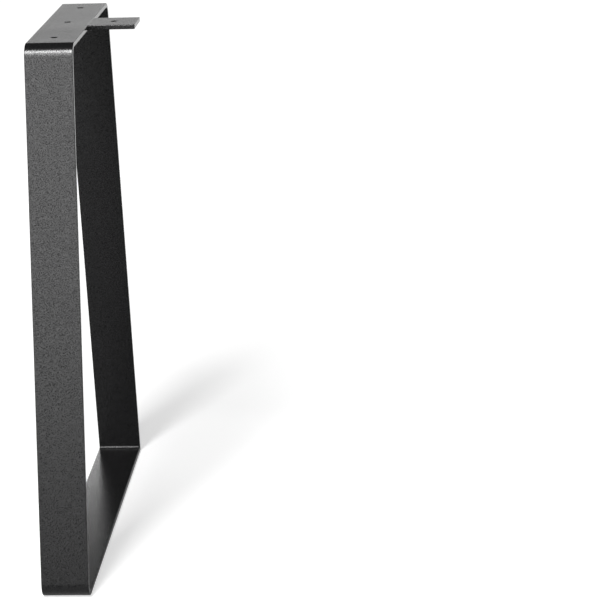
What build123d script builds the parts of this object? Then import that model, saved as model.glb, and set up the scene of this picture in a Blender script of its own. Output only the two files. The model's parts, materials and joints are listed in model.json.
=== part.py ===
from build123d import *
import math
import os

# A trestle table leg: one flat steel bar bent into a closed trapezoid, with a welded tab at its top
#
# The bar is bent three times, and its two ends meet in a square welded corner at the back of the foot.
# The leg stands on the floor at z = 0. The bar's wide face runs along X, and the trapezoid lies in YZ.
# The origin is on the floor, under the middle of the bar. The tab points along +X.

# Overall sizes, measured to the sharp corners that the bends round off
leg_height = 724.0
top_length = 360.0
foot_length = 600.0

# The flat bar, and the inside radius that it is bent to
bar_width = 63.5
bar_thickness = 6.35
bend_radius = 12.7
edge_rounding = 0.8

# The closing corner, where the weld fills the inside and is dressed on the outside
seam_fillet = 3.2
seam_rounding = 1.2

# The screw holes: three along the middle of the top, and one in the middle of the tab
top_hole_count = 3
top_hole_spacing = 125.0
hole_diameter = 9.0
hole_edge_break = 0.4
drill_run_out = 1.0

# The tab is cut from the same bar, so it is as wide and as thick as the bar
tab_length = 63.5
tab_width = bar_width

# The weld is laid from below, in a bevel along the tab's root, and stands proud in ripples
weld_bevel = 2.6
weld_lap = 1.6
weld_crown = 1.8
weld_end_gap = 2.0
ripple_pitch = 2.8
ripple_lean = 18.0

# Places that follow from the sizes
bar_edge_x = bar_width / 2
underside_z = leg_height - bar_thickness
tab_middle_x = bar_edge_x + tab_length / 2
hole_radius = hole_diameter / 2
hole_depth = bar_thickness + drill_run_out

foot_front = (-foot_length / 2, 0)
foot_back = (foot_length / 2, 0)
top_back = (top_length / 2, leg_height)
top_front = (-top_length / 2, leg_height)

# The loop: the outside of the trapezoid, less the same outline set in by the bar's thickness
with BuildPart() as leg_loop:
    with BuildSketch(Plane.YZ) as loop_section:
        with BuildLine():
            Polyline(foot_front, foot_back, top_back, top_front, close=True)
        make_face()
        closing_corner = loop_section.vertices().sort_by_distance(foot_back)[0]
        bent_corners = loop_section.vertices() - [closing_corner]
        fillet(bent_corners, radius=bend_radius + bar_thickness)
        offset(amount=-bar_thickness, mode=Mode.SUBTRACT)

        # The outer and the inner vertex of the closing corner are the two that are nearest to it
        inner_vertex = loop_section.vertices().sort_by_distance(foot_back)[1]
        fillet(inner_vertex, radius=seam_fillet)
        outer_vertex = loop_section.vertices().sort_by_distance(foot_back)[0]
        fillet(outer_vertex, radius=seam_rounding)
    extrude(amount=bar_width / 2, both=True)

    # The bar's long edges are rounded, and stay square only where the tab is welded on
    fillet(leg_loop.faces().filter_by(Plane.YZ).edges(), radius=edge_rounding)
    with Locations((bar_edge_x - edge_rounding / 2, 0, leg_height - bar_thickness / 2)):
        Box(edge_rounding, tab_width - 2 * edge_rounding, bar_thickness)

    with Locations(Plane.XY.offset(leg_height)):
        with GridLocations(top_hole_spacing, top_hole_spacing, 1, top_hole_count):
            Hole(radius=hole_radius, depth=hole_depth)
    hole_rims = leg_loop.edges().filter_by(GeomType.CIRCLE).filter_by(Plane.XY)
    chamfer(hole_rims, length=hole_edge_break)

leg_loop.part.label = "leg_loop"

# The tab: a square of the bar, flush with the top of the loop, bevelled from below along its root
with BuildPart() as fixing_tab:
    with BuildSketch(Plane.XY.offset(leg_height)):
        with Locations((tab_middle_x, 0)):
            Rectangle(tab_length, tab_width)
            Circle(hole_radius, mode=Mode.SUBTRACT)
    extrude(amount=-bar_thickness)

    tab_hole_rims = fixing_tab.edges().filter_by(GeomType.CIRCLE)
    chamfer(tab_hole_rims, length=hole_edge_break)

    root_face = fixing_tab.faces().sort_by(Axis.X)[0]
    chamfer(root_face.edges().sort_by(Axis.Z)[0], length=weld_bevel)

    free_end = fixing_tab.faces().sort_by(Axis.X)[-1]
    long_edges = fixing_tab.edges().filter_by(Axis.X)
    fillet(free_end.edges() + long_edges, radius=edge_rounding)

fixing_tab.part.label = "fixing_tab"

# The weld: its fill is the bevel's section, and its crown is a row of thin discs that lean on each other.
# What lies inside the loop or the tab is cut away, so the weld seats on both.
crown_width = weld_bevel + 2 * weld_lap
crown_middle_x = bar_edge_x + weld_bevel / 2
ripple_count = math.floor((tab_width - 2 * weld_end_gap) / ripple_pitch)
first_ripple_y = -ripple_pitch * (ripple_count - 1) / 2
lean_sine = math.sin(math.radians(ripple_lean))
lean_cosine = math.cos(math.radians(ripple_lean))
ripple_rise = ripple_pitch / 2 * lean_sine
ripple_depth = (weld_crown - ripple_rise) / lean_cosine
ripple_root = 2 * ripple_rise

ripple_planes = []
for ripple in range(ripple_count):
    ripple_middle = (crown_middle_x, first_ripple_y + ripple * ripple_pitch, underside_z)
    ripple_planes.append(Plane(ripple_middle, x_dir=(1, 0, 0), z_dir=(0, -lean_cosine, -lean_sine)))

with BuildPart() as tab_weld:
    with BuildSketch(Plane.XZ):
        with BuildLine():
            Polyline(
                (bar_edge_x, underside_z),
                (bar_edge_x, underside_z + weld_bevel),
                (bar_edge_x + weld_bevel, underside_z),
                close=True,
            )
        make_face()
    extrude(amount=tab_width / 2, both=True)

    with BuildSketch(*ripple_planes):
        with BuildLine():
            rim = ThreePointArc((-crown_width / 2, 0), (0, -ripple_depth), (crown_width / 2, 0))
            Polyline(rim @ 1, (crown_width / 2, ripple_root), (-crown_width / 2, ripple_root), rim @ 0)
        make_face()
    extrude(amount=ripple_pitch / 2, both=True)

    add(leg_loop.part, mode=Mode.SUBTRACT)
    add(fixing_tab.part, mode=Mode.SUBTRACT)

tab_weld.part.label = "tab_weld"

os.makedirs("parts", exist_ok=True)
export_step(leg_loop.part, "parts/leg_loop.step")
export_step(fixing_tab.part, "parts/fixing_tab.step")
export_step(tab_weld.part, "parts/tab_weld.step")
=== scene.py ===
"""A trestle table leg bent from flat steel bar, with a welded fixing tab and a black powder coat."""

import json
import math

import bmesh
import bpy
from bpy.props import FloatProperty, FloatVectorProperty, IntProperty, PointerProperty
from bpy.types import Operator, Panel, PropertyGroup
from mathutils import Matrix, Vector


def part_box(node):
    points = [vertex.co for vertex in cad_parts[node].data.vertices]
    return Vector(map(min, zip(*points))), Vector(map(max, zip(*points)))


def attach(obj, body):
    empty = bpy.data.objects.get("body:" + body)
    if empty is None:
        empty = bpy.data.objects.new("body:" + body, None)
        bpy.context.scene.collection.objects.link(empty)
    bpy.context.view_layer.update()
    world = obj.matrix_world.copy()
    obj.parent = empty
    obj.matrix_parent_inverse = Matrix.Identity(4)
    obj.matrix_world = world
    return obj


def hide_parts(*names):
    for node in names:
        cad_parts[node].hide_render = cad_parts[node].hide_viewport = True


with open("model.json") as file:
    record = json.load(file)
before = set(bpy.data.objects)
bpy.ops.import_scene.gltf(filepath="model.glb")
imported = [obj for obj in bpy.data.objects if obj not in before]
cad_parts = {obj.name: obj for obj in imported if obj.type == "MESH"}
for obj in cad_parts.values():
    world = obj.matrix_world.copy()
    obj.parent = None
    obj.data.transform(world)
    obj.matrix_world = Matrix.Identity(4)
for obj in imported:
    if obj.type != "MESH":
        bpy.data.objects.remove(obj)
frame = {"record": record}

bl_info = {
    "name": "Trestle Table Leg",
    "version": (1, 0, 0),
    "blender": (4, 5, 0),
    "location": "3D View > Sidebar > Table Leg",
    "description": "Builds a flat-bar table leg with its fixing tab, weld, powder coat and studio",
    "category": "Add Mesh",
}

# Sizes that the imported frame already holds
LOOP_LOW, LOOP_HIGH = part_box("leg_loop")
TAB_LOW, TAB_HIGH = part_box("fixing_tab")
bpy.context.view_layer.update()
MOUNTS = {mount["name"]: mount for mount in frame["record"]["mounts"]}
END_HOLES = MOUNTS["top_end_holes"]["dims"]
COAT_RECORD = frame["record"]["materials"][0]

MILLIMETRE = 0.001
MERGE_DISTANCE = 1e-6
SHARP_ANGLE = math.radians(32)
ALIGNED = 0.999
RIM_STEPS = 3

# The vertex layer that marks the coat, and its values: from inside a hole to the thin coat of an edge
EDGE_LAYER = "edge_band"
INSIDE_A_HOLE = -1.0
ON_A_FACE = 0.0
BESIDE_AN_EDGE = 0.5
ON_AN_EDGE = 1.0
ON_THE_TAB_EDGE = 0.7
ON_THE_WELD = 0.6

# The coat's grain: its cells and flecks against the grain size, how strongly it is flecked, the broad
# drift of its roughness, and how much rougher it is where it lies thick inside a hole
CELL_DENSITY = 0.7
FLECK_DENSITY = 1.2
FLECK_CONTRAST = 3.5
DRIFT_DENSITY = 9.0
DULLER_IN_A_HOLE = 0.4
COAT_IOR = 1.5

# Where a Mix node's two colours and its result stand among its sockets
MIX_FIRST, MIX_SECOND, MIX_RESULT = 6, 7, 2

# The weld's crown: its facets, how deep its root sinks into the joint, and the form of its ripples
WELD_ARC_STEPS = 12
WELD_RIPPLE_STEPS = 8
WELD_SINK = 0.3 * MILLIMETRE
RIPPLE_DIP = 0.34
RIPPLE_FULLNESS = 0.6
RIPPLE_LEAN = 0.9
RIPPLE_NARROWING = 0.1
CROWN_END_START = 0.25
CROWN_END_NARROWING = 0.2
LID_TOLERANCE = 0.01

# Where the floor turns white, in metres: by distance from the leg as seen, and along Y as mirrored
SEEN_FADE = (0.3, 2.2)
MIRRORED_FRONT_FADE = (-2.5, -0.4)
MIRRORED_BACK_FADE = (0.1, 2.2)
FLOOR_REACH = 20
WALL_SIDES = 96

# Each softbox, in metres: name, place, target, width, height, and the setting with its brightness
SOFTBOXES = (
    ("front_softbox", (-0.7, -4.6, 0.53), (-0.7, 0, 0.53), 2.4, 0.74, "front_level"),
    ("upper_softbox", (-0.7, -4.6, 1.325), (-0.7, 0, 1.325), 2.4, 0.85, "upper_level"),
    ("high_softbox", (-0.7, -4.6, 2.475), (-0.7, 0, 2.475), 2.4, 1.45, "high_level"),
    ("fill_softbox", (-0.47, -2.6, 2.38), (0, -0.16, 0.7), 0.8, 0.8, "fill_level"),
    ("top_softbox", (-0.37, -1.62, 2.57), (0, -0.16, 0.7), 0.5, 0.75, "top_level"),
    ("rear_strip", (-0.19, 1.0, 0.26), (-0.19, 0, 0.26), 0.5, 0.08, "rear_level"),
)


# Sizes and colours that a user would change

class LegBarSettings(PropertyGroup):
    """The flat bar and the trapezoid that it is bent into"""

    height: FloatProperty(
        name="Height", description="From the floor to the top face",
        default=LOOP_HIGH.z, min=0.1, unit="LENGTH")
    top_length: FloatProperty(
        name="Top Length", description="Length of the top, to its sharp corners",
        default=0.360, min=0.1, unit="LENGTH")
    foot_length: FloatProperty(
        name="Foot Length", description="Length of the foot, to its sharp corners",
        default=0.600, min=0.1, unit="LENGTH")
    width: FloatProperty(
        name="Bar Width", description="Width of the flat bar",
        default=LOOP_HIGH.x - LOOP_LOW.x, min=0.01, unit="LENGTH")
    thickness: FloatProperty(
        name="Bar Thickness", description="Thickness of the flat bar",
        default=TAB_HIGH.z - TAB_LOW.z, min=0.001, unit="LENGTH")
    bend: FloatProperty(
        name="Bend", description="Inside radius of the bar's three bends",
        default=0.0127, min=0.001, unit="LENGTH")
    corner_fillet: FloatProperty(
        name="Corner Fillet", description="Inside radius of the weld that closes the bar",
        default=0.0032, min=0.0005, unit="LENGTH")
    corner_rounding: FloatProperty(
        name="Corner Rounding", description="Outside rounding of the dressed closing corner",
        default=0.0012, min=0.0001, unit="LENGTH")
    edge_rounding: FloatProperty(
        name="Edge Rounding", description="Radius of the bar's long edges",
        default=0.0008, min=0.0001, unit="LENGTH")
    edge_steps: IntProperty(
        name="Edge Steps", description="Facets round each rounded edge", default=4, min=1)
    bend_steps: IntProperty(
        name="Bend Steps", description="Facets round each bend", default=32, min=4)
    corner_steps: IntProperty(
        name="Corner Steps", description="Facets round the closing corner", default=48, min=8)
    edge_fade: FloatProperty(
        name="Edge Fade", description="Width over which the thinner coat at an edge fades out",
        default=0.0015, min=0.0001, unit="LENGTH")


class LegHoleSettings(PropertyGroup):
    """The screw holes in the top and in the tab"""

    diameter: FloatProperty(
        name="Hole Diameter", description="Diameter of each screw hole",
        default=2 * END_HOLES["hole_r_mm"] * MILLIMETRE, min=0.001, unit="LENGTH")
    spacing: FloatProperty(
        name="Hole Spacing", description="Distance between neighbouring holes along the top",
        default=END_HOLES["spacing_y_mm"] * MILLIMETRE / 2, min=0.01, unit="LENGTH")
    rim: FloatProperty(
        name="Rim Rounding", description="Rounding of each hole's rims",
        default=0.0004, min=0.0001, unit="LENGTH")
    quarter_steps: IntProperty(
        name="Quarter Steps", description="Facets round a quarter of a hole", default=12, min=2)


class LegWeldSettings(PropertyGroup):
    """The weld that holds the tab from below"""

    bevel: FloatProperty(
        name="Root Bevel", description="Bevel along the tab's root that the weld fills",
        default=0.0026, min=0.0005, unit="LENGTH")
    lap: FloatProperty(
        name="Lap", description="How far the crown laps over the bar and the tab",
        default=0.0016, min=0.0, unit="LENGTH")
    crown: FloatProperty(
        name="Crown", description="How far the crown stands proud of the underside",
        default=0.0018, min=0.0001, unit="LENGTH")
    ripple_pitch: FloatProperty(
        name="Ripple Pitch", description="Distance from one ripple to the next",
        default=0.0028, min=0.0005, unit="LENGTH")
    end_gap: FloatProperty(
        name="End Gap", description="Distance from the crown's ends to the tab's edges",
        default=0.002, min=0.0, unit="LENGTH")


class LegCoatSettings(PropertyGroup):
    """The black powder coat"""

    colour: FloatVectorProperty(
        name="Colour", description="Colour of the powder coat's deeper grains", subtype="COLOR",
        size=3, default=(0.004, 0.004, 0.0042), min=0.0, max=1.0)
    fleck_colour: FloatVectorProperty(
        name="Fleck Colour", description="Colour of the powder coat's paler grains", subtype="COLOR",
        size=3, default=COAT_RECORD["base_color"], min=0.0, max=1.0)
    roughness: FloatProperty(
        name="Roughness", description="Roughness of the coat", default=0.24, min=0.0, max=1.0,
        subtype="FACTOR")
    gloss: FloatProperty(
        name="Gloss", description="Specular level of the coat", default=0.14, min=0.0, max=1.0,
        subtype="FACTOR")
    sparkle: FloatProperty(
        name="Sparkle", description="How much glossier the paler grains are", default=0.46,
        min=0.0, max=1.0, subtype="FACTOR")
    grain_size: FloatProperty(
        name="Grain Size", description="Size of the coat's fine grain",
        default=0.0016, min=0.0001, unit="LENGTH")
    grain_height: FloatProperty(
        name="Grain Height", description="Height of the coat's fine grain",
        default=0.00008, min=0.0, unit="LENGTH")
    roughness_drift: FloatProperty(
        name="Roughness Drift", description="How far the roughness drifts over the leg",
        default=0.08, min=0.0, max=1.0, subtype="FACTOR")
    edge_polish: FloatProperty(
        name="Edge Polish", description="How much smoother the thinner coat at an edge is",
        default=0.08, min=0.0, max=1.0, subtype="FACTOR")


class LegStudioSettings(PropertyGroup):
    """The floor, the lamps and the camera"""

    white: FloatProperty(
        name="White", description="Strength at which the background shows as white",
        default=1.0, min=0.0)
    ceiling_level: FloatProperty(
        name="Ceiling Level", description="Strength of the dim light from above the white wall",
        default=0.06, min=0.0)
    floor_colour: FloatVectorProperty(
        name="Floor Colour", description="Colour of the plain pale floor", subtype="COLOR",
        size=3, default=(0.6, 0.6, 0.6), min=0.0, max=1.0)
    floor_lift: FloatProperty(
        name="Floor Lift", description="White added to the lit floor near the leg",
        default=0.62, min=0.0)
    mirror_lift: FloatProperty(
        name="Mirror Lift", description="White added to the lit floor where the leg mirrors it",
        default=0.08, min=0.0)
    wall_radius: FloatProperty(
        name="Wall Radius", description="Radius of the round white wall",
        default=12.0, min=1.0, unit="LENGTH")
    wall_height: FloatProperty(
        name="Wall Height", description="Height of the round white wall",
        default=3.6, min=0.1, unit="LENGTH")
    front_level: FloatProperty(
        name="Front Softbox", description="Brightness of the low softbox behind the camera",
        default=3.9, min=0.0)
    upper_level: FloatProperty(
        name="Upper Softbox", description="Brightness of the softbox above it",
        default=5.0, min=0.0)
    high_level: FloatProperty(
        name="High Softbox", description="Brightness of the highest of the three",
        default=7.0, min=0.0)
    fill_level: FloatProperty(
        name="Fill Softbox", description="Brightness of the softbox between the front and the top",
        default=16.0, min=0.0)
    top_level: FloatProperty(
        name="Top Softbox", description="Brightness of the softbox over the leg",
        default=57.0, min=0.0)
    rear_level: FloatProperty(
        name="Rear Strip", description="Brightness of the low strip light behind the leg",
        default=5.0, min=0.0)
    camera_place: FloatVectorProperty(
        name="Camera Place", description="Where the camera stands", subtype="TRANSLATION",
        size=3, default=(0.49212, -3.21721, 1.23754), unit="LENGTH")
    camera_yaw: FloatProperty(
        name="Camera Yaw", description="Turn of the camera from the Y axis",
        default=-0.05774, subtype="ANGLE")
    camera_pitch: FloatProperty(
        name="Camera Pitch", description="How far the camera looks down",
        default=0.27588, subtype="ANGLE")
    camera_roll: FloatProperty(
        name="Camera Roll", description="Tilt of the camera about its own axis",
        default=0.0296, subtype="ANGLE")
    camera_lens: FloatProperty(
        name="Camera Lens", description="Focal length in millimetres on a 36 mm sensor",
        default=143.2, min=1.0)


# Shaping tools

def edges_of(geometry):
    """The edges among a mesh operator's results."""
    return [item for item in geometry if isinstance(item, bmesh.types.BMEdge)]


def verts_of(geometry):
    """The vertices among a mesh operator's results."""
    return [item for item in geometry if isinstance(item, bmesh.types.BMVert)]


def once(items):
    """The items, each once, in the order in which they come."""
    return list(dict.fromkeys(items))


def ring_verts(ring):
    """The vertices of a ring of edges."""
    return once(vert for edge in ring for vert in edge.verts)


def push_ring(mesh, ring, offset):
    """Extrudes a ring of edges along a straight and gives the new ring."""
    made = bmesh.ops.extrude_edge_only(mesh, edges=ring)["geom"]
    new_verts = verts_of(made)
    bmesh.ops.translate(mesh, verts=new_verts, vec=offset)
    fresh = set(new_verts)
    return [edge for edge in edges_of(made) if fresh.issuperset(edge.verts)]


def turn_ring(mesh, ring, centre, angle, steps):
    """Spins a ring of edges round a bend's centre, about the X axis, and gives the new ring."""
    made = bmesh.ops.spin(
        mesh, geom=ring_verts(ring) + ring, cent=centre, axis=(1, 0, 0), dvec=(0, 0, 0),
        angle=angle, steps=steps, use_duplicate=False)
    return edges_of(made["geom_last"])


def square_off(verts, centre, inside, outside, rounding, middle, half_turn):
    """Pushes the outside of a tight bend out to a square corner with a small rounding."""
    reach = (outside - rounding) / math.cos(half_turn)
    rounded_turn = half_turn - math.atan((outside - rounding) * math.tan(half_turn) / outside)
    for vert in verts:
        arm = vert.co - centre
        arm.x = 0
        turn = arm.angle(middle)
        if turn < rounded_turn:
            edge = reach * math.cos(turn) + math.sqrt(rounding ** 2 - (reach * math.sin(turn)) ** 2)
        else:
            edge = outside / math.cos(half_turn - turn)
        stretch = (edge - outside) / (outside - inside)
        vert.co += arm.normalized() * (arm.length - inside) * stretch


def band(mesh):
    """The vertex layer that marks where the coat is thinner, and where it is inside a hole."""
    return mesh.verts.layers.float.get(EDGE_LAYER) or mesh.verts.layers.float.new(EDGE_LAYER)


def split(mesh, faces, place, normal):
    """Cuts the given faces along a plane."""
    geometry = once(faces)
    geometry += once(edge for face in faces for edge in face.edges)
    geometry += once(vert for face in faces for vert in face.verts)
    bmesh.ops.bisect_plane(
        mesh, geom=geometry, dist=MERGE_DISTANCE, plane_co=place, plane_no=normal)


def flat_face_at(mesh, place, normal):
    """The face that lies on a plane and holds a point of it."""
    for face in mesh.faces:
        on_plane = abs((face.verts[0].co - place).dot(normal)) < 10 * MERGE_DISTANCE
        turned_so = face.normal.dot(normal) > ALIGNED
        if on_plane and turned_so and bmesh.geometry.intersect_face_point(face, place):
            return face
    raise RuntimeError(f"no flat face holds the point {tuple(place)}")


def drill(mesh, place, depth, holes):
    """Opens a round hole straight down from a place on the top face, and rounds both its rims.

    Each mouth is cut out of a square patch of its face, twice as wide as the hole.
    """
    reach = holes.diameter
    up = Vector((0, 0, 1))
    mesh.normal_update()
    mouths = []
    for mouth, normal in ((place, up), (place - depth * up, -up)):
        for axis in (Vector((1, 0, 0)), Vector((0, 1, 0))):
            for side in (-reach, reach):
                face = flat_face_at(mesh, mouth, normal)
                split(mesh, [face], mouth + side * axis, axis)
        face = flat_face_at(mesh, mouth, normal)
        square = list(face.edges)
        bmesh.ops.delete(mesh, geom=[face], context="FACES_ONLY")
        cut = bmesh.ops.subdivide_edges(mesh, edges=square, cuts=holes.quarter_steps - 1)
        square = [edge for edge in edges_of(cut["geom_inner"] + cut["geom_split"]) if edge.is_boundary]
        circle = push_ring(mesh, once(square), Vector((0, 0, 0)))
        for vert in ring_verts(circle):
            arm = vert.co - mouth
            arm.z = 0
            # Equal steps round the circle, from steps that are equal along the square's sides
            big, small = (arm.x, arm.y) if abs(arm.x) >= abs(arm.y) else (arm.y, arm.x)
            turn = math.radians(45) * small / abs(big)
            side = math.copysign(math.cos(turn), big)
            rest = math.sin(turn)
            unit = (side, rest) if abs(arm.x) >= abs(arm.y) else (rest, side)
            vert.co = mouth + Vector((unit[0], unit[1], 0)) * (holes.diameter / 2)
        mouths.append(circle)
    bmesh.ops.bridge_loops(mesh, edges=mouths[0] + mouths[1])
    rims = bmesh.ops.bevel(
        mesh, geom=mouths[0] + mouths[1], offset=holes.rim, offset_type="OFFSET",
        segments=RIM_STEPS, profile=0.5, affect="EDGES", material=-1)
    edge_band = band(mesh)
    for vert in rims["verts"]:
        below = place.z - vert.co.z
        on_face = min(abs(below), abs(below - depth)) < MERGE_DISTANCE
        vert[edge_band] = ON_A_FACE if on_face else INSIDE_A_HOLE


def line_up(items, place):
    """Puts a mesh's vertices, edges or faces in the order of their places, the same in each run."""
    order = {item: rank for rank, item in enumerate(sorted(items, key=place))}
    items.sort(key=order.get)


def finish_piece(mesh, name, cad_node, material):
    """Closes and checks a mesh, shades it, and puts it in the place of a CAD node."""
    bmesh.ops.remove_doubles(mesh, verts=mesh.verts, dist=MERGE_DISTANCE)
    bmesh.ops.recalc_face_normals(mesh, faces=mesh.faces)
    if any(not edge.is_manifold for edge in mesh.edges):
        raise RuntimeError(f"{name} has an open or doubled edge")
    for face in mesh.faces:
        face.smooth = True
    for edge in mesh.edges:
        edge.smooth = edge.calc_face_angle() < SHARP_ANGLE
    line_up(mesh.verts, lambda vert: tuple(vert.co))
    line_up(mesh.edges, lambda edge: tuple(edge.verts[0].co + edge.verts[1].co))
    line_up(mesh.faces, lambda face: tuple(face.calc_center_median()))
    data = bpy.data.meshes.new(name)
    mesh.to_mesh(data)
    mesh.free()
    data.materials.append(material)
    piece = bpy.data.objects.new(name, data)
    bpy.context.scene.collection.objects.link(piece)
    weighted = piece.modifiers.new("Flat faces stay flat", "WEIGHTED_NORMAL")
    weighted.keep_sharp = True
    weighted.weight = 100
    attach(piece, "root")
    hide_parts(cad_node)


# Finishes

def node(tree, kind, place, **values):
    """Adds a shader node at a place of the tree, with the given properties."""
    made = tree.nodes.new(kind)
    made.location = place
    for key, value in values.items():
        setattr(made, key, value)
    return made


def math_node(tree, operation, place, first, second, third=None, clamp=False):
    """Adds a Math node, whose inputs are sockets or numbers, and gives its output."""
    made = node(tree, "ShaderNodeMath", place, operation=operation, use_clamp=clamp)
    for index, value in enumerate((first, second, third)):
        if isinstance(value, bpy.types.NodeSocket):
            tree.links.new(value, made.inputs[index])
        elif value is not None:
            made.inputs[index].default_value = value
    return made.outputs[0]


def powder_grain_group():
    """The powder coat's grain: its flecks, its drifting roughness and its fine pebbling."""
    name = "Powder grain"
    if name in bpy.data.node_groups:
        return bpy.data.node_groups[name]
    tree = bpy.data.node_groups.new(name, "ShaderNodeTree")
    for label, kind, default in (
        ("Colour", "NodeSocketColor", (0.03, 0.03, 0.03, 1)),
        ("Fleck Colour", "NodeSocketColor", (0.08, 0.08, 0.08, 1)),
        ("Grain Size", "NodeSocketFloat", 0.001),
        ("Sparkle", "NodeSocketFloat", 0.3),
        ("Roughness", "NodeSocketFloat", 0.4),
        ("Roughness Drift", "NodeSocketFloat", 0.06),
        ("Edge", "NodeSocketFloat", 0.0),
        ("Edge Polish", "NodeSocketFloat", 0.1),
    ):
        socket = tree.interface.new_socket(label, in_out="INPUT", socket_type=kind)
        socket.default_value = default
    for label, kind in (
        ("Colour", "NodeSocketColor"), ("Roughness", "NodeSocketFloat"),
        ("Coat Weight", "NodeSocketFloat"), ("Height", "NodeSocketFloat"),
    ):
        tree.interface.new_socket(label, in_out="OUTPUT", socket_type=kind)

    links = tree.links
    given = node(tree, "NodeGroupInput", (-1200, 0))
    result = node(tree, "NodeGroupOutput", (900, 0))
    place = node(tree, "ShaderNodeTexCoord", (-1200, 400))
    density = math_node(tree, "DIVIDE", (-1000, 200), 1.0, given.outputs["Grain Size"])

    pebbles = node(tree, "ShaderNodeTexNoise", (-700, 500))
    pebbles.inputs["Detail"].default_value = 2.0
    pebbles.inputs["Roughness"].default_value = 0.6
    links.new(place.outputs["Object"], pebbles.inputs["Vector"])
    links.new(density, pebbles.inputs["Scale"])

    cells = node(tree, "ShaderNodeTexVoronoi", (-700, 250), feature="SMOOTH_F1")
    cells.inputs["Smoothness"].default_value = 0.6
    links.new(place.outputs["Object"], cells.inputs["Vector"])
    cell_scale = math_node(tree, "MULTIPLY", (-860, 250), density, CELL_DENSITY)
    links.new(cell_scale, cells.inputs["Scale"])

    flecks = node(tree, "ShaderNodeTexNoise", (-700, 0))
    flecks.inputs["Detail"].default_value = 1.0
    links.new(place.outputs["Object"], flecks.inputs["Vector"])
    fleck_scale = math_node(tree, "MULTIPLY", (-860, 0), density, FLECK_DENSITY)
    links.new(fleck_scale, flecks.inputs["Scale"])

    drift = node(tree, "ShaderNodeTexNoise", (-700, -250))
    drift.inputs["Scale"].default_value = DRIFT_DENSITY
    drift.inputs["Detail"].default_value = 3.0
    links.new(place.outputs["Object"], drift.inputs["Vector"])

    height = math_node(tree, "SUBTRACT", (-200, 400), pebbles.outputs["Fac"], cells.outputs["Distance"])
    links.new(height, result.inputs["Height"])

    fleck_mask = math_node(
        tree, "MULTIPLY_ADD", (-450, 0), flecks.outputs["Fac"], FLECK_CONTRAST,
        0.5 - FLECK_CONTRAST / 2, clamp=True)
    inside = math_node(tree, "MULTIPLY", (-450, -600), given.outputs["Edge"], -1.0, clamp=True)
    outside = math_node(tree, "SUBTRACT", (-200, -600), 1.0, inside)
    weight = math_node(tree, "MULTIPLY", (-200, 0), fleck_mask, given.outputs["Sparkle"])
    weight = math_node(tree, "MULTIPLY", (100, -50), weight, outside)
    links.new(weight, result.inputs["Coat Weight"])
    tint = node(tree, "ShaderNodeMix", (100, 100), data_type="RGBA")
    links.new(fleck_mask, tint.inputs["Factor"])
    links.new(given.outputs["Colour"], tint.inputs[MIX_FIRST])
    links.new(given.outputs["Fleck Colour"], tint.inputs[MIX_SECOND])
    links.new(tint.outputs[MIX_RESULT], result.inputs["Colour"])

    centred = math_node(tree, "SUBTRACT", (-450, -250), drift.outputs["Fac"], 0.5)
    rough = math_node(
        tree, "MULTIPLY_ADD", (-200, -250), centred, given.outputs["Roughness Drift"],
        given.outputs["Roughness"])
    polish = math_node(
        tree, "MULTIPLY", (-200, -450), given.outputs["Edge"], given.outputs["Edge Polish"])
    rough = math_node(tree, "SUBTRACT", (100, -300), rough, polish)
    rough = math_node(
        tree, "MULTIPLY_ADD", (300, -300), inside, DULLER_IN_A_HOLE, rough, clamp=True)
    links.new(rough, result.inputs["Roughness"])
    return tree


def powder_coat():
    """The black powder coat that covers the bar, the tab and the weld."""
    name = "Black powder coat"
    if name in bpy.data.materials:
        return bpy.data.materials[name]
    coat = bpy.context.scene.leg_coat
    material = bpy.data.materials.new(name)
    material.use_nodes = True
    tree = material.node_tree
    tree.nodes.clear()
    output = node(tree, "ShaderNodeOutputMaterial", (500, 0))
    shader = node(tree, "ShaderNodeBsdfPrincipled", (200, 0))
    shader.inputs["IOR"].default_value = COAT_IOR
    shader.inputs["Specular IOR Level"].default_value = coat.gloss
    shader.inputs["Coat Roughness"].default_value = coat.roughness
    grain = node(tree, "ShaderNodeGroup", (-300, 0), node_tree=powder_grain_group())
    grain.inputs["Colour"].default_value = (*coat.colour, 1)
    grain.inputs["Fleck Colour"].default_value = (*coat.fleck_colour, 1)
    grain.inputs["Grain Size"].default_value = coat.grain_size
    grain.inputs["Sparkle"].default_value = coat.sparkle
    grain.inputs["Roughness"].default_value = coat.roughness
    grain.inputs["Roughness Drift"].default_value = coat.roughness_drift
    grain.inputs["Edge Polish"].default_value = coat.edge_polish
    edge = node(tree, "ShaderNodeAttribute", (-600, -100), attribute_name=EDGE_LAYER)
    bump = node(tree, "ShaderNodeBump", (0, -250))
    bump.inputs["Distance"].default_value = coat.grain_height
    tree.links.new(edge.outputs["Fac"], grain.inputs["Edge"])
    tree.links.new(grain.outputs["Colour"], shader.inputs["Base Color"])
    tree.links.new(grain.outputs["Roughness"], shader.inputs["Roughness"])
    tree.links.new(grain.outputs["Coat Weight"], shader.inputs["Coat Weight"])
    tree.links.new(grain.outputs["Height"], bump.inputs["Height"])
    tree.links.new(bump.outputs["Normal"], shader.inputs["Normal"])
    tree.links.new(shader.outputs["BSDF"], output.inputs["Surface"])
    return material


# Operators, one for each piece and one for the studio

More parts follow.
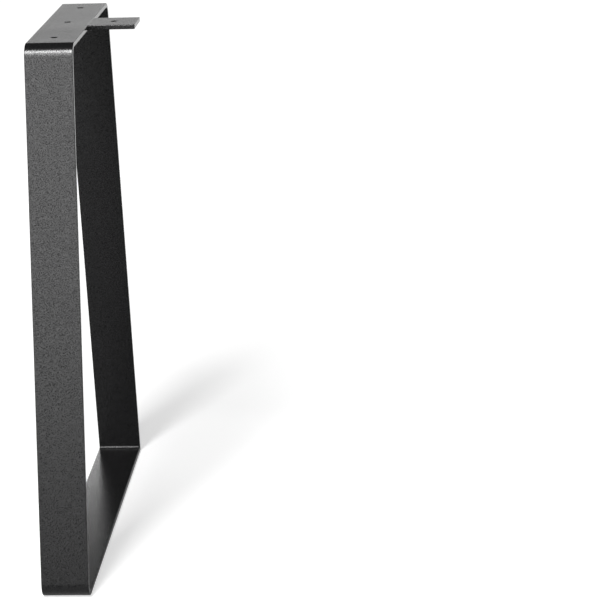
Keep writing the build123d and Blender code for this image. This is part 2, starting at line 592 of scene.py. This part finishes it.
class TABLE_LEG_OT_bend_bar(Operator):
    """Bend the flat bar into the closed trapezoid and drill its top"""

    bl_idname = "table_leg.bend_bar"
    bl_label = "Bend Bar"
    bl_options = {"REGISTER", "UNDO"}

    def execute(self, context):
        bar = context.scene.leg_bar
        holes = context.scene.leg_holes
        half_width = bar.width / 2
        half_thickness = bar.thickness / 2
        lean = math.atan((bar.foot_length - bar.top_length) / 2 / bar.height)
        sine, cosine = math.sin(lean), math.cos(lean)
        side_out = bar.top_length / 2 * cosine + bar.height * sine
        land_end = bar.width / 2 - bar.edge_rounding

        def bend_centre(radius, height):
            """The centre of a bend of an outside radius between the leaning strip and a level one."""
            return Vector((0, (side_out - radius - height * sine) / cosine, height))

        outside = bar.bend + bar.thickness
        corner_outside = bar.corner_fillet + bar.thickness
        top_centre = bend_centre(outside, bar.height - outside)
        foot_centre = bend_centre(outside, outside)
        corner_centre = bend_centre(corner_outside, corner_outside)
        square_out = Vector((0, cosine, sine))
        back_step = corner_centre - top_centre + (corner_outside - outside) * square_out
        front_step = foot_centre - top_centre

        mesh = bmesh.new()
        made = bmesh.ops.create_grid(mesh, x_segments=1, y_segments=1, size=0.5)
        bmesh.ops.scale(mesh, verts=made["verts"], vec=(bar.width, bar.thickness, 1))
        bmesh.ops.bevel(
            mesh, geom=list(mesh.verts), offset=bar.edge_rounding, offset_type="OFFSET",
            segments=bar.edge_steps, profile=0.5, affect="VERTICES", material=-1)
        bmesh.ops.rotate(
            mesh, verts=mesh.verts, cent=(0, 0, 0), matrix=Matrix.Rotation(math.radians(90), 3, "X"))
        bmesh.ops.translate(mesh, verts=mesh.verts, vec=(0, -land_end, bar.height - half_thickness))
        edge_band = band(mesh)
        for vert in mesh.verts:
            in_x = half_width - abs(vert.co.x) < bar.edge_rounding - MERGE_DISTANCE
            off_middle = abs(vert.co.z - bar.height + half_thickness)
            in_z = half_thickness - off_middle < bar.edge_rounding - MERGE_DISTANCE
            vert[edge_band] = ON_AN_EDGE if in_x and in_z else BESIDE_AN_EDGE
        ring = list(mesh.edges)
        bmesh.ops.delete(mesh, geom=list(mesh.faces), context="FACES_ONLY")

        # The square land for the tab's root, then down the back, along the foot and up the front
        land_rings = [ring]
        ring = push_ring(mesh, ring, (0, 2 * land_end, 0))
        land_rings.append(ring)
        ring = push_ring(mesh, ring, (0, 0, 0))
        ring = push_ring(mesh, ring, (0, top_centre.y - land_end, 0))
        top_turn = math.radians(90) - lean
        foot_turn = math.radians(90) + lean
        ring = turn_ring(mesh, ring, top_centre, -top_turn, bar.bend_steps)
        ring = push_ring(mesh, ring, back_step)
        before = set(mesh.verts)
        ring = turn_ring(mesh, ring, corner_centre, -foot_turn, bar.corner_steps)
        corner_verts = [vert for vert in mesh.verts if vert not in before]
        corner_middle = Vector((0, math.cos(foot_turn / 2 - lean), -math.sin(foot_turn / 2 - lean)))
        square_off(
            corner_verts, corner_centre, bar.corner_fillet, corner_outside, bar.corner_rounding,
            corner_middle, foot_turn / 2)
        ring = push_ring(mesh, ring, (0, -corner_centre.y - foot_centre.y, 0))
        ring = turn_ring(mesh, ring, (0, -foot_centre.y, foot_centre.z), -foot_turn, bar.bend_steps)
        ring = push_ring(mesh, ring, (0, front_step.y, -front_step.z))
        ring = turn_ring(mesh, ring, (0, -top_centre.y, top_centre.z), -top_turn, bar.bend_steps)
        ring = push_ring(mesh, ring, (0, top_centre.y - land_end, 0))
        land_rings.append(push_ring(mesh, ring, (0, 0, 0)))

        middle_z = bar.height - half_thickness
        corner = Vector((half_width - bar.edge_rounding, 0, half_thickness - bar.edge_rounding))
        for vert in ring_verts([edge for land in land_rings for edge in land]):
            above = math.copysign(1, vert.co.z - middle_z)
            arm_x = vert.co.x - corner.x
            arm_z = above * (vert.co.z - middle_z) - corner.z
            if arm_x > MERGE_DISTANCE and arm_z > MERGE_DISTANCE:
                stretch = bar.edge_rounding / max(arm_x, arm_z)
                vert.co.x = corner.x + arm_x * stretch
                vert.co.z = middle_z + above * (corner.z + arm_z * stretch)
        bmesh.ops.remove_doubles(mesh, verts=mesh.verts, dist=MERGE_DISTANCE)
        bmesh.ops.dissolve_degenerate(mesh, edges=mesh.edges, dist=MERGE_DISTANCE)
        bmesh.ops.recalc_face_normals(mesh, faces=mesh.faces)

        # The coat at the rounded edges fades out on the wide faces
        fade_x = half_width - bar.edge_rounding - bar.edge_fade
        for side in (-1, 1):
            split(mesh, list(mesh.faces), (side * fade_x, 0, 0), (1, 0, 0))
        for vert in mesh.verts:
            if abs(vert.co.x) < fade_x + MERGE_DISTANCE:
                vert[edge_band] = ON_A_FACE

        for index in (-1, 0, 1):
            place = Vector((0, index * holes.spacing, bar.height))
            drill(mesh, place, bar.thickness, holes)
        finish_piece(mesh, "bent_bar", "leg_loop", powder_coat())
        return {"FINISHED"}


class TABLE_LEG_OT_cut_tab(Operator):
    """Cut the fixing tab from the same bar, bevel its root and drill it"""

    bl_idname = "table_leg.cut_tab"
    bl_label = "Cut Tab"
    bl_options = {"REGISTER", "UNDO"}

    def execute(self, context):
        bar = context.scene.leg_bar
        holes = context.scene.leg_holes
        weld = context.scene.leg_weld
        size = TAB_HIGH - TAB_LOW
        centre = (TAB_HIGH + TAB_LOW) / 2
        mesh = bmesh.new()
        bmesh.ops.create_cube(mesh, size=1)
        bmesh.ops.scale(mesh, verts=mesh.verts, vec=size)
        bmesh.ops.translate(mesh, verts=mesh.verts, vec=centre)
        edge_band = band(mesh)

        def lies_at(edge, axis, value):
            return all(abs(vert.co[axis] - value) < MERGE_DISTANCE for vert in edge.verts)

        root = [
            edge for edge in mesh.edges if lies_at(edge, 0, TAB_LOW.x) and lies_at(edge, 2, TAB_LOW.z)]
        bmesh.ops.bevel(
            mesh, geom=root, offset=weld.bevel, offset_type="OFFSET", segments=1, profile=0.5,
            affect="EDGES", material=-1)
        rounded = [
            edge for edge in mesh.edges
            if lies_at(edge, 0, TAB_HIGH.x)
            or abs(edge.verts[0].co.x - edge.verts[1].co.x) > size.x / 2]
        bmesh.ops.bevel(
            mesh, geom=rounded, offset=bar.edge_rounding, offset_type="OFFSET",
            segments=bar.edge_steps, profile=0.5, affect="EDGES", material=-1)

        # The coat at the rounded edges fades out on the top and the underside
        inset = bar.edge_rounding + bar.edge_fade
        for place, normal in (
            ((0, TAB_LOW.y + inset, 0), (0, 1, 0)),
            ((0, TAB_HIGH.y - inset, 0), (0, 1, 0)),
            ((TAB_HIGH.x - inset, 0, 0), (1, 0, 0)),
        ):
            split(mesh, list(mesh.faces), place, normal)
        for vert in mesh.verts:
            from_side = size.y / 2 - abs(vert.co.y - centre.y)
            from_end = TAB_HIGH.x - vert.co.x
            on_face = min(from_side, from_end) > inset - MERGE_DISTANCE
            vert[edge_band] = ON_A_FACE if on_face else ON_THE_TAB_EDGE
        place = Vector((centre.x, centre.y, TAB_HIGH.z))
        drill(mesh, place, size.z, holes)
        finish_piece(mesh, "welded_tab", "fixing_tab", powder_coat())
        return {"FINISHED"}


class TABLE_LEG_OT_lay_weld(Operator):
    """Lay the rippled weld along the tab's root, from below"""

    bl_idname = "table_leg.lay_weld"
    bl_label = "Lay Weld"
    bl_options = {"REGISTER", "UNDO"}

    def execute(self, context):
        weld = context.scene.leg_weld
        root_x = TAB_LOW.x
        underside = TAB_LOW.z
        half_length = (TAB_HIGH.y - TAB_LOW.y) / 2
        middle_x = root_x + weld.bevel / 2
        half_crown = weld.bevel / 2 + weld.lap
        count = math.floor(2 * (half_length - weld.end_gap) / weld.ripple_pitch)
        start_y = -weld.ripple_pitch * count / 2

        mesh = bmesh.new()
        edge_band = band(mesh)
        # The fill, a prism in the tab's bevel
        made = bmesh.ops.create_circle(mesh, cap_ends=True, segments=3, radius=1)
        corners = (
            (root_x, underside), (root_x, underside + weld.bevel), (root_x + weld.bevel, underside))
        for vert, (x, z) in zip(made["verts"], corners):
            vert.co = (x, -half_length, z)
        pushed = bmesh.ops.extrude_face_region(mesh, geom=list(mesh.faces))["geom"]
        bmesh.ops.translate(mesh, verts=verts_of(pushed), vec=(0, 2 * half_length, 0))

        # The crown, an arc across the joint that is pushed along it and swells and leans at each ripple
        first = mesh.verts.new((middle_x - half_crown, start_y, underside))
        bmesh.ops.spin(
            mesh, geom=[first], cent=(middle_x, start_y, underside), axis=(0, 1, 0), dvec=(0, 0, 0),
            angle=-math.pi, steps=WELD_ARC_STEPS, use_duplicate=False)
        arc = [edge for edge in mesh.edges if not edge.link_faces]
        lid = sorted(ring_verts(arc), key=lambda vert: vert.co.x)
        arc.append(mesh.edges.new((lid[0], lid[-1])))
        rings = [arc]
        for step in range(count * WELD_RIPPLE_STEPS):
            rings.append(push_ring(mesh, rings[-1], (0, weld.ripple_pitch / WELD_RIPPLE_STEPS, 0)))
        for step, ring in enumerate(rings):
            phase = (step % WELD_RIPPLE_STEPS) / WELD_RIPPLE_STEPS
            swell = 1 - RIPPLE_DIP * (1 - math.sin(math.pi * phase) ** RIPPLE_FULLNESS)
            from_end = min(step, len(rings) - 1 - step) / WELD_RIPPLE_STEPS
            taper = math.sin(min(1, CROWN_END_START + from_end) * math.pi / 2)
            at_ripple = 1 - RIPPLE_NARROWING + RIPPLE_NARROWING * swell
            at_end = 1 - CROWN_END_NARROWING + CROWN_END_NARROWING * taper
            for vert in ring_verts(ring):
                across = (vert.co.x - middle_x) / half_crown
                down = (underside - vert.co.z) / half_crown
                vert.co.x = middle_x + across * (half_crown * at_ripple * at_end)
                if down > LID_TOLERANCE:
                    vert.co.z = underside - down * weld.crown * swell * taper
                else:
                    vert.co.z = underside + WELD_SINK
                bow = math.sqrt(max(0, 1 - across ** 2)) - 0.5
                vert.co.y += RIPPLE_LEAN * weld.ripple_pitch * bow
                vert[edge_band] = ON_THE_WELD
        for ring in (rings[0], rings[-1]):
            bmesh.ops.contextual_create(mesh, geom=ring)
        finish_piece(mesh, "weld_bead", "tab_weld", powder_coat())
        return {"FINISHED"}


class TABLE_LEG_OT_set_studio(Operator):
    """Set up the pale floor, the soft lamps and the camera"""

    bl_idname = "table_leg.set_studio"
    bl_label = "Set Studio"
    bl_options = {"REGISTER", "UNDO"}

    def ray_kinds(self, tree, place):
        """Two masks: 1 for the camera's own rays, and 1 for those that metal or glass sends on."""
        path = node(tree, "ShaderNodeLightPath", place)
        sent_on = math_node(
            tree, "MAXIMUM", (place[0] + 200, place[1]),
            path.outputs["Is Glossy Ray"], path.outputs["Is Transmission Ray"])
        return path.outputs["Is Camera Ray"], sent_on

    def fade(self, tree, place, value, span, first, last):
        """A level that goes softly from its first value to its last, as another grows over a span."""
        made = node(tree, "ShaderNodeMapRange", place, interpolation_type="SMOOTHSTEP")
        made.inputs["From Min"].default_value = span[0]
        made.inputs["From Max"].default_value = span[1]
        made.inputs["To Min"].default_value = first
        made.inputs["To Max"].default_value = last
        tree.links.new(value, made.inputs["Value"])
        return made.outputs["Result"]

    def add_staged(self, mesh, name, material):
        """Makes a mesh a piece of the studio, which the part itself leaves out."""
        data = bpy.data.meshes.new(name)
        mesh.to_mesh(data)
        mesh.free()
        data.materials.append(material)
        piece = bpy.data.objects.new(name, data)
        bpy.context.scene.collection.objects.link(piece)

    def new_material(self, name):
        """An empty node material, and its output node."""
        material = bpy.data.materials.new(name)
        material.use_nodes = True
        material.node_tree.nodes.clear()
        return material, node(material.node_tree, "ShaderNodeOutputMaterial", (900, 0))

    def add_floor(self, studio):
        """A matte floor that keeps the leg's shadow, and shows as white round it."""
        material, output = self.new_material("Pale floor")
        tree = material.node_tree
        matte = node(tree, "ShaderNodeBsdfDiffuse", (300, 100))
        matte.inputs["Color"].default_value = (*studio.floor_colour, 1)
        place = node(tree, "ShaderNodeTexCoord", (-900, -300))
        axes = node(tree, "ShaderNodeSeparateXYZ", (-700, -300))
        reach = node(tree, "ShaderNodeVectorMath", (-700, -800), operation="LENGTH")
        tree.links.new(place.outputs["Object"], axes.inputs[0])
        tree.links.new(place.outputs["Object"], reach.inputs[0])

        seen = self.fade(
            tree, (-500, -800), reach.outputs["Value"], SEEN_FADE, studio.floor_lift, studio.white)
        front = self.fade(
            tree, (-500, -200), axes.outputs["Y"], MIRRORED_FRONT_FADE, 0.0, studio.mirror_lift)
        back = self.fade(
            tree, (-500, -500), axes.outputs["Y"], MIRRORED_BACK_FADE, 0.0,
            studio.white - studio.mirror_lift)
        mirrored = math_node(tree, "ADD", (-300, -300), front, back)
        camera_rays, sent_on_rays = self.ray_kinds(tree, (-500, 0))
        mirrored = math_node(tree, "MULTIPLY", (-100, -200), sent_on_rays, mirrored)
        strength = math_node(tree, "MULTIPLY_ADD", (100, -300), camera_rays, seen, mirrored)
        glow = node(tree, "ShaderNodeEmission", (300, -100))
        tree.links.new(strength, glow.inputs["Strength"])
        both = node(tree, "ShaderNodeAddShader", (600, 0))
        tree.links.new(matte.outputs[0], both.inputs[0])
        tree.links.new(glow.outputs[0], both.inputs[1])
        tree.links.new(both.outputs[0], output.inputs["Surface"])
        mesh = bmesh.new()
        bmesh.ops.create_grid(mesh, x_segments=1, y_segments=1, size=FLOOR_REACH)
        self.add_staged(mesh, "floor", material)

    def add_wall(self, studio):
        """A low round wall that shows as white, to the camera and in what the leg mirrors."""
        material, output = self.new_material("White wall")
        tree = material.node_tree
        matte = node(tree, "ShaderNodeBsdfDiffuse", (300, 100))
        matte.inputs["Color"].default_value = (*studio.floor_colour, 1)
        glow = node(tree, "ShaderNodeEmission", (300, -100))
        glow.inputs["Strength"].default_value = studio.white
        choice = node(tree, "ShaderNodeMixShader", (600, 0))
        white_rays = math_node(tree, "MAXIMUM", (-100, 0), *self.ray_kinds(tree, (-500, 0)))
        tree.links.new(white_rays, choice.inputs[0])
        tree.links.new(matte.outputs[0], choice.inputs[1])
        tree.links.new(glow.outputs[0], choice.inputs[2])
        tree.links.new(choice.outputs[0], output.inputs["Surface"])
        mesh = bmesh.new()
        bmesh.ops.create_circle(
            mesh, cap_ends=False, segments=WALL_SIDES, radius=studio.wall_radius)
        push_ring(mesh, list(mesh.edges), (0, 0, studio.wall_height))
        self.add_staged(mesh, "wall", material)

    def add_world(self, studio):
        """The dim ceiling above the wall."""
        world = bpy.data.worlds.new("Studio")
        bpy.context.scene.world = world
        world.use_nodes = True
        tree = world.node_tree
        tree.nodes.clear()
        output = node(tree, "ShaderNodeOutputWorld", (300, 0))
        sky = node(tree, "ShaderNodeBackground", (0, 0))
        sky.inputs["Color"].default_value = (1, 1, 1, 1)
        sky.inputs["Strength"].default_value = studio.ceiling_level
        tree.links.new(sky.outputs[0], output.inputs["Surface"])

    def add_softbox(self, name, place, target, width, height, level):
        """An area lamp of one brightness, whose light reaches the leg as from a softbox."""
        data = bpy.data.lights.new(name, "AREA")
        data.shape = "RECTANGLE"
        data.size = width
        data.size_y = height
        data.energy = level * math.pi * width * height
        lamp = bpy.data.objects.new(name, data)
        bpy.context.scene.collection.objects.link(lamp)
        lamp.location = place
        lamp.rotation_mode = "QUATERNION"
        lamp.rotation_quaternion = (Vector(target) - Vector(place)).to_track_quat("-Z", "Y")
        lamp.visible_camera = False

    def add_camera(self, studio):
        """The camera, turned by its yaw, its pitch and its roll."""
        yaw, pitch, roll = studio.camera_yaw, studio.camera_pitch, studio.camera_roll
        ahead = Vector((
            math.sin(yaw) * math.cos(pitch), math.cos(yaw) * math.cos(pitch), -math.sin(pitch)))
        level_right = Vector((math.cos(yaw), -math.sin(yaw), 0))
        level_down = ahead.cross(level_right)
        right = math.cos(roll) * level_right + math.sin(roll) * level_down
        down = math.cos(roll) * level_down - math.sin(roll) * level_right
        data = bpy.data.cameras.new("camera")
        data.sensor_width = 36
        data.lens = studio.camera_lens
        data.clip_end = 100
        camera = bpy.data.objects.new("camera", data)
        bpy.context.scene.collection.objects.link(camera)
        axes = Matrix((right, -down, -ahead)).transposed()
        camera.matrix_world = Matrix.Translation(studio.camera_place) @ axes.to_4x4()
        bpy.context.scene.camera = camera

    def execute(self, context):
        studio = context.scene.leg_studio
        context.scene.view_settings.view_transform = "Standard"
        self.add_floor(studio)
        self.add_wall(studio)
        self.add_world(studio)
        for name, place, target, width, height, setting in SOFTBOXES:
            self.add_softbox(name, place, target, width, height, getattr(studio, setting))
        self.add_camera(studio)
        return {"FINISHED"}


class TABLE_LEG_PT_workshop(Panel):
    """The table leg's sizes, its finish and its operators"""

    bl_idname = "TABLE_LEG_PT_workshop"
    bl_label = "Table Leg"
    bl_space_type = "VIEW_3D"
    bl_region_type = "UI"
    bl_category = "Table Leg"

    def draw(self, context):
        layout = self.layout
        for settings in SETTINGS:
            box = layout.box()
            group = getattr(context.scene, settings)
            for name in group.bl_rna.properties.keys():
                if name not in ("rna_type", "name"):
                    box.prop(group, name)
        for operator in OPERATORS:
            layout.operator(operator.bl_idname)


SETTINGS = {
    "leg_bar": LegBarSettings,
    "leg_holes": LegHoleSettings,
    "leg_weld": LegWeldSettings,
    "leg_coat": LegCoatSettings,
    "leg_studio": LegStudioSettings,
}
OPERATORS = (
    TABLE_LEG_OT_bend_bar,
    TABLE_LEG_OT_cut_tab,
    TABLE_LEG_OT_lay_weld,
    TABLE_LEG_OT_set_studio,
)


def register():
    """Registers the settings, the operators and the panel."""
    for name, settings in SETTINGS.items():
        bpy.utils.register_class(settings)
        setattr(bpy.types.Scene, name, PointerProperty(type=settings))
    for operator in OPERATORS:
        bpy.utils.register_class(operator)
    bpy.utils.register_class(TABLE_LEG_PT_workshop)


def unregister():
    """Takes out what register put in, in the opposite order."""
    bpy.utils.unregister_class(TABLE_LEG_PT_workshop)
    for operator in reversed(OPERATORS):
        bpy.utils.unregister_class(operator)
    for name, settings in reversed(SETTINGS.items()):
        delattr(bpy.types.Scene, name)
        bpy.utils.unregister_class(settings)


def main():
    """Builds the leg and its studio."""
    register()
    bpy.ops.table_leg.bend_bar()
    bpy.ops.table_leg.cut_tab()
    bpy.ops.table_leg.lay_weld()
    bpy.ops.table_leg.set_studio()


if __name__ == "__main__":
    main()
